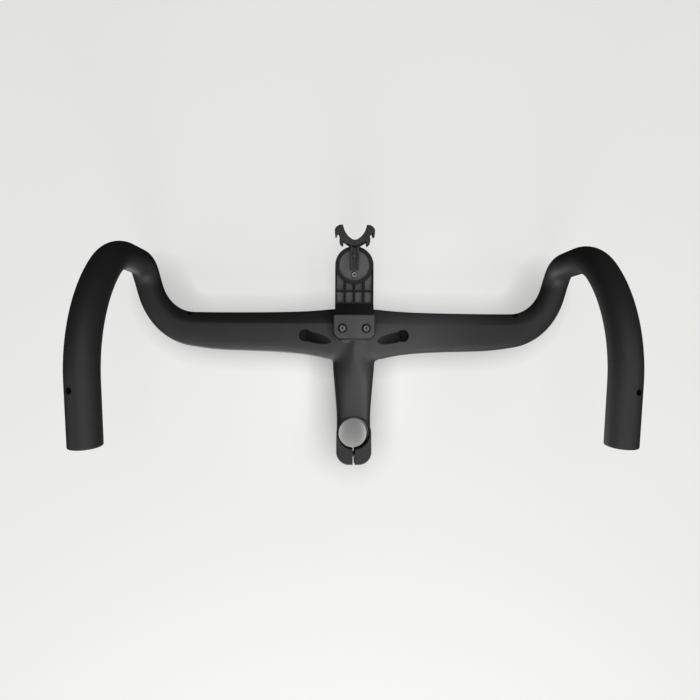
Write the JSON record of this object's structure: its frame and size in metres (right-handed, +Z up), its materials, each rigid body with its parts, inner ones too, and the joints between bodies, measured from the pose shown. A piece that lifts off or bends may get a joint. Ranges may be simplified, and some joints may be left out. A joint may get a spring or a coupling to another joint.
{
  "type": "integrated handlebar stem",
  "caption": "One-piece drop handlebar and stem with flat tops, hose ports under the bar, a bolted computer mount and a strap cradle.",
  "frame": {"origin": "centre of the steerer bore, halfway up the clamp", "axes": "+Z up along the steerer axis, +Y forward, +X across the bar"},
  "size_m": [0.4228, 0.2231, 0.1643],
  "materials": {
    "laminate": "satin black laminate",
    "black_steel": "black oxide",
    "mount_plastic": "fine moulded grain",
    "sleeve_metal": "plain",
    "insert_plastic": "fine moulded grain",
    "bright_steel": "plain",
    "cradle_plastic": "smooth moulded"
  },
  "bodies": {
    "root": {"bar_stem": "laminate", "clamp_bolts": "black_steel", "clamp_nuts": "black_steel", "mount_arm": "mount_plastic", "mount_bolts": "black_steel", "mount_sleeves": "sleeve_metal", "turn_insert": "insert_plastic", "insert_screws": "bright_steel", "strap_cradle": "cradle_plastic"}
  },
  "joints": []
}
